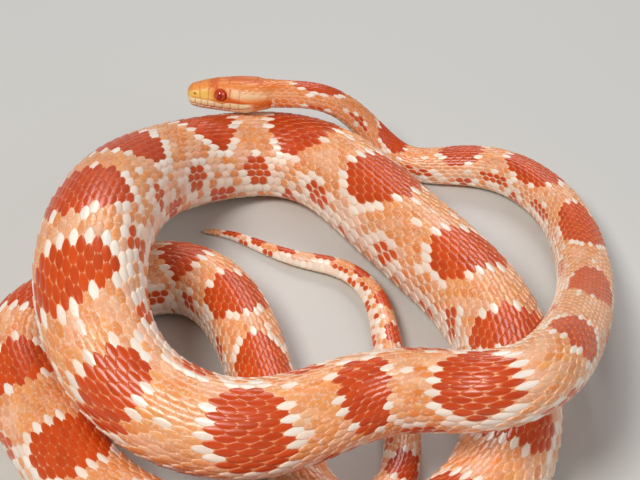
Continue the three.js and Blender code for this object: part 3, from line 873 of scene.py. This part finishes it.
def coat_scutes(start, end):
    """The broad belly scutes of one stretch, paired under the tail."""
    columns = [c for c in COLUMNS if start <= c < end and c > SCUTES_FROM]
    across = np.linspace(-1, 1, SCUTE_ACROSS)
    along = np.linspace(0, 1, SCUTE_ALONG)
    v, u = np.meshgrid(across, along)
    v, u = v.ravel(), u.ravel()
    quads, sizes = [], []
    for i in range(SCUTE_ALONG - 1):
        for j in range(SCUTE_ACROSS - 1):
            a = i * SCUTE_ACROSS + j
            quads += [a, a + SCUTE_ACROSS, a + SCUTE_ACROSS + 1, a + 1]
            sizes.append(4)
    rear = (SCUTE_ALONG - 1) * SCUTE_ACROSS
    base = SCUTE_ALONG * SCUTE_ACROSS
    for j in range(SCUTE_ACROSS - 1):
        quads += [rear + j, base + j, base + j + 1, rear + j + 1]
        sizes.append(4)
    u = np.concatenate([u, np.full(SCUTE_ACROSS, 1.01)])
    v = np.concatenate([v, across])
    skirt = np.arange(len(u)) >= base
    s0 = np.array(columns)[:, None]
    pitch = scale_size(np.maximum(s0, 0))
    s = s0 + pitch * (1.18 * u - 0.1)
    middle = np.where(s0 > VENT_AT, 0.35 * np.exp(-((v / 0.1) ** 2)), 0.0)
    half = 180 - VENTRAL_EDGE + 4
    angle = np.radians(180 + half * v)
    thick = pitch / 7
    lift = thick * (-0.12 + 0.40 * u - middle - 0.25 * smooth(np.abs(v), 0.86, 1.0))
    lift = np.where(skirt, lift - 0.5 * thick, lift)
    points = surface(s, np.broadcast_to(angle, s.shape), lift)
    number = np.arange(len(columns))[:, None] + start
    check = hash01(np.floor(number / 2), np.sign(v)[None, :] * 3.0) < SCUTE_CHECK_SHARE
    check = check & (np.abs(v) > 0.25) & (np.abs(v) < 0.92)
    plain = np.broadcast_to(linear(BELLY), s.shape + (3,))
    colors = mix(plain, linear(ORANGE), np.where(check, 0.75, 0.0))
    edge = smooth(np.abs(v), 0.85, 1.0)
    flank_color, _, _ = markings(s0.ravel(), np.full(len(columns), SCUTE_EDGE_AT), COAT_SEED)
    colors = mix(colors, flank_color[:, None, :], 0.5 * np.broadcast_to(edge, s.shape))
    cell_u = (s0 - start + pitch * 0.9 * np.clip(u, 0, 1)) / (end - start + UV_MARGIN)
    cell_v = (180 + half * 0.94 * v + VENTRAL_EDGE + 12) / UV_DEGREES
    cell_v = np.broadcast_to(np.clip(cell_v, 0, 1), s.shape)
    uv = np.stack([np.clip(cell_u + 0.01, 0, 1), cell_v], -1)
    offsets = (np.arange(len(columns)) * len(u))[:, None]
    return (
        points.reshape(-1, 3),
        (np.array(quads)[None, :] + offsets).reshape(-1),
        np.tile(sizes, len(columns)),
        colors.reshape(-1, 3),
        np.zeros(s.size),
        uv.reshape(-1, 2),
    )


def make_coat():
    pieces = []
    for name, start, end in COAT_PIECES:
        arrays = join_arrays(coat_scales(start, end), coat_scutes(start, end))
        pieces.append(make_mesh(name, *arrays))
    return pieces


# Eyes
def make_eye(name, right):
    """A glossy eyeball: red pupil in an orange-red iris."""
    centre = Vector((eye_place(right, EYE_RADIUS - EYE_BULGE) * MM).tolist())
    mesh = bpy.data.meshes.new(name)
    shape = bmesh.new()
    bmesh.ops.create_uvsphere(shape, u_segments=64, v_segments=40, radius=EYE_RADIUS * MM)
    shape.to_mesh(mesh)
    shape.free()
    coords = np.empty(len(mesh.vertices) * 3, np.float32)
    mesh.vertices.foreach_get("co", coords)
    coords = coords.reshape(-1, 3)
    gaze = unit(SIDE[0] * right - TRAVEL[0] * 0.12)
    off_axis = np.degrees(np.arccos(np.clip(coords @ gaze / (EYE_RADIUS * MM), -1, 1)))
    pupil = 1 - smooth(off_axis, 20, 26)
    ring = np.exp(-(((off_axis - 28) / 4.0) ** 2))
    iris = np.broadcast_to(linear(IRIS), (len(coords), 3))
    colors = mix(iris, linear(IRIS_EDGE), 0.6 * ring)
    colors = mix(colors, linear(PUPIL), pupil)
    paint(mesh, colors)
    coords += np.array(centre, np.float32)
    mesh.vertices.foreach_set("co", coords.ravel())
    mesh.polygons.foreach_set("use_smooth", np.ones(len(mesh.polygons), bool))
    obj = bpy.data.objects.new(name, mesh)
    bpy.context.scene.collection.objects.link(obj)
    return obj


# Materials
def new_material(name):
    material = bpy.data.materials.new(name)
    material.use_nodes = True
    nodes = material.node_tree.nodes
    return material, nodes, material.node_tree.links, nodes["Principled BSDF"]


def scale_material(name, rough_low, rough_high, bump):
    """Painted skin colour with fine mottling, pale specks and a faint relief."""
    material, nodes, links, shader = new_material(name)
    tint = nodes.new("ShaderNodeAttribute")
    tint.attribute_name = "tint"
    speckle = nodes.new("ShaderNodeAttribute")
    speckle.attribute_name = "speckle"
    place = nodes.new("ShaderNodeTexCoord")
    fine = nodes.new("ShaderNodeTexNoise")
    fine.inputs["Scale"].default_value = FINE_GRAIN
    fine.inputs["Detail"].default_value = 4
    broad = nodes.new("ShaderNodeTexNoise")
    broad.inputs["Scale"].default_value = BROAD_MOTTLE
    broad.inputs["Detail"].default_value = 3
    links.new(place.outputs["Object"], fine.inputs["Vector"])
    links.new(place.outputs["Object"], broad.inputs["Vector"])
    specks = nodes.new("ShaderNodeMapRange")
    specks.inputs["From Min"].default_value = 0.52
    specks.inputs["From Max"].default_value = 0.64
    links.new(fine.outputs["Fac"], specks.inputs["Value"])
    amount = nodes.new("ShaderNodeMath")
    amount.operation = "MULTIPLY"
    links.new(specks.outputs["Result"], amount.inputs[0])
    links.new(speckle.outputs["Fac"], amount.inputs[1])
    pale = nodes.new("ShaderNodeMix")
    pale.data_type = "RGBA"
    pale.inputs["B"].default_value = (*linear(WHITE), 1)
    links.new(amount.outputs["Value"], pale.inputs["Factor"])
    links.new(tint.outputs["Color"], pale.inputs["A"])
    mottle = nodes.new("ShaderNodeMapRange")
    mottle.inputs["To Min"].default_value = 0.86
    mottle.inputs["To Max"].default_value = 1.10
    links.new(broad.outputs["Fac"], mottle.inputs["Value"])
    shade = nodes.new("ShaderNodeVectorMath")
    shade.operation = "SCALE"
    links.new(pale.outputs["Result"], shade.inputs[0])
    links.new(mottle.outputs["Result"], shade.inputs["Scale"])
    links.new(shade.outputs["Vector"], shader.inputs["Base Color"])
    rough = nodes.new("ShaderNodeMapRange")
    rough.inputs["To Min"].default_value = rough_low
    rough.inputs["To Max"].default_value = rough_high
    links.new(broad.outputs["Fac"], rough.inputs["Value"])
    links.new(rough.outputs["Result"], shader.inputs["Roughness"])
    relief = nodes.new("ShaderNodeBump")
    relief.inputs["Strength"].default_value = bump
    relief.inputs["Distance"].default_value = RELIEF_DISTANCE
    links.new(fine.outputs["Fac"], relief.inputs["Height"])
    links.new(relief.outputs["Normal"], shader.inputs["Normal"])
    shader.inputs["Specular IOR Level"].default_value = 0.5
    shader.inputs["Subsurface Weight"].default_value = 0.0
    return material


def eye_material():
    material, nodes, links, shader = new_material("eye_gloss")
    tint = nodes.new("ShaderNodeAttribute")
    tint.attribute_name = "tint"
    place = nodes.new("ShaderNodeTexCoord")
    flecks = nodes.new("ShaderNodeTexNoise")
    flecks.inputs["Scale"].default_value = EYE_FLECKS
    links.new(place.outputs["Object"], flecks.inputs["Vector"])
    light = nodes.new("ShaderNodeMapRange")
    light.inputs["To Min"].default_value = 0.75
    light.inputs["To Max"].default_value = 1.25
    links.new(flecks.outputs["Fac"], light.inputs["Value"])
    shade = nodes.new("ShaderNodeVectorMath")
    shade.operation = "SCALE"
    links.new(tint.outputs["Color"], shade.inputs[0])
    links.new(light.outputs["Result"], shade.inputs["Scale"])
    links.new(shade.outputs["Vector"], shader.inputs["Base Color"])
    shader.inputs["Roughness"].default_value = 0.08
    shader.inputs["Coat Weight"].default_value = 1.0
    shader.inputs["Coat Roughness"].default_value = 0.03
    return material


# Stage
def make_floor():
    bpy.ops.mesh.primitive_plane_add(size=FLOOR_SIZE, location=(0, 0, -FLOOR_DROP))
    floor = bpy.context.object
    floor.name = "floor"
    material, _, _, shader = new_material("floor_pale")
    shader.inputs["Base Color"].default_value = FLOOR_COLOR
    shader.inputs["Roughness"].default_value = 0.7
    floor.data.materials.append(material)


def add_light(name, place, size, power, color):
    data = bpy.data.lights.new(name, "AREA")
    data.shape = "DISK"
    data.size = size
    data.energy = power
    data.color = color
    lamp = bpy.data.objects.new(name, data)
    lamp.location = place
    aim = Vector(LIGHTS_AIM) - Vector(place)
    lamp.rotation_euler = aim.to_track_quat("-Z", "Y").to_euler()
    bpy.context.scene.collection.objects.link(lamp)


def make_lights():
    for light in LIGHTS:
        add_light(*light)
    world = bpy.data.worlds.new("studio")
    world.use_nodes = True
    background = world.node_tree.nodes["Background"]
    background.inputs["Color"].default_value = WORLD_COLOR
    background.inputs["Strength"].default_value = WORLD_STRENGTH
    bpy.context.scene.world = world
    bpy.context.scene.view_settings.view_transform = "Standard"


def make_camera():
    data = bpy.data.cameras.new("camera")
    data.sensor_width = 36
    data.lens = CAMERA_LENS
    data.clip_start = 0.01
    camera = bpy.data.objects.new("camera", data)
    target = Vector(CAMERA_TARGET) * MM
    elevation = math.radians(CAMERA_ELEVATION)
    away = Vector((0, -math.cos(elevation), math.sin(elevation)))
    camera.location = target + away * (CAMERA_DISTANCE * MM)
    camera.rotation_euler = (-away).to_track_quat("-Z", "Y").to_euler()
    bpy.context.scene.collection.objects.link(camera)
    bpy.context.scene.camera = camera


def build_snake():
    skin_look = scale_material("snake_skin", 0.34, 0.46, 0.25)
    coat_look = scale_material("snake_scales", 0.22, 0.36, 0.2)
    skin = make_skin()
    skin.data.materials.append(skin_look)
    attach(skin, "root")
    for piece in make_coat():
        piece.data.materials.append(coat_look)
        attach(piece, "root")
    eye_look = eye_material()
    for name, node, right in (("eyeball_left", "eye_left", -1), ("eyeball_right", "eye_right", 1)):
        eye = make_eye(name, right)
        eye.data.materials.append(eye_look)
        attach(eye, "root")
        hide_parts(node)


make_camera()
make_floor()
make_lights()
build_snake()
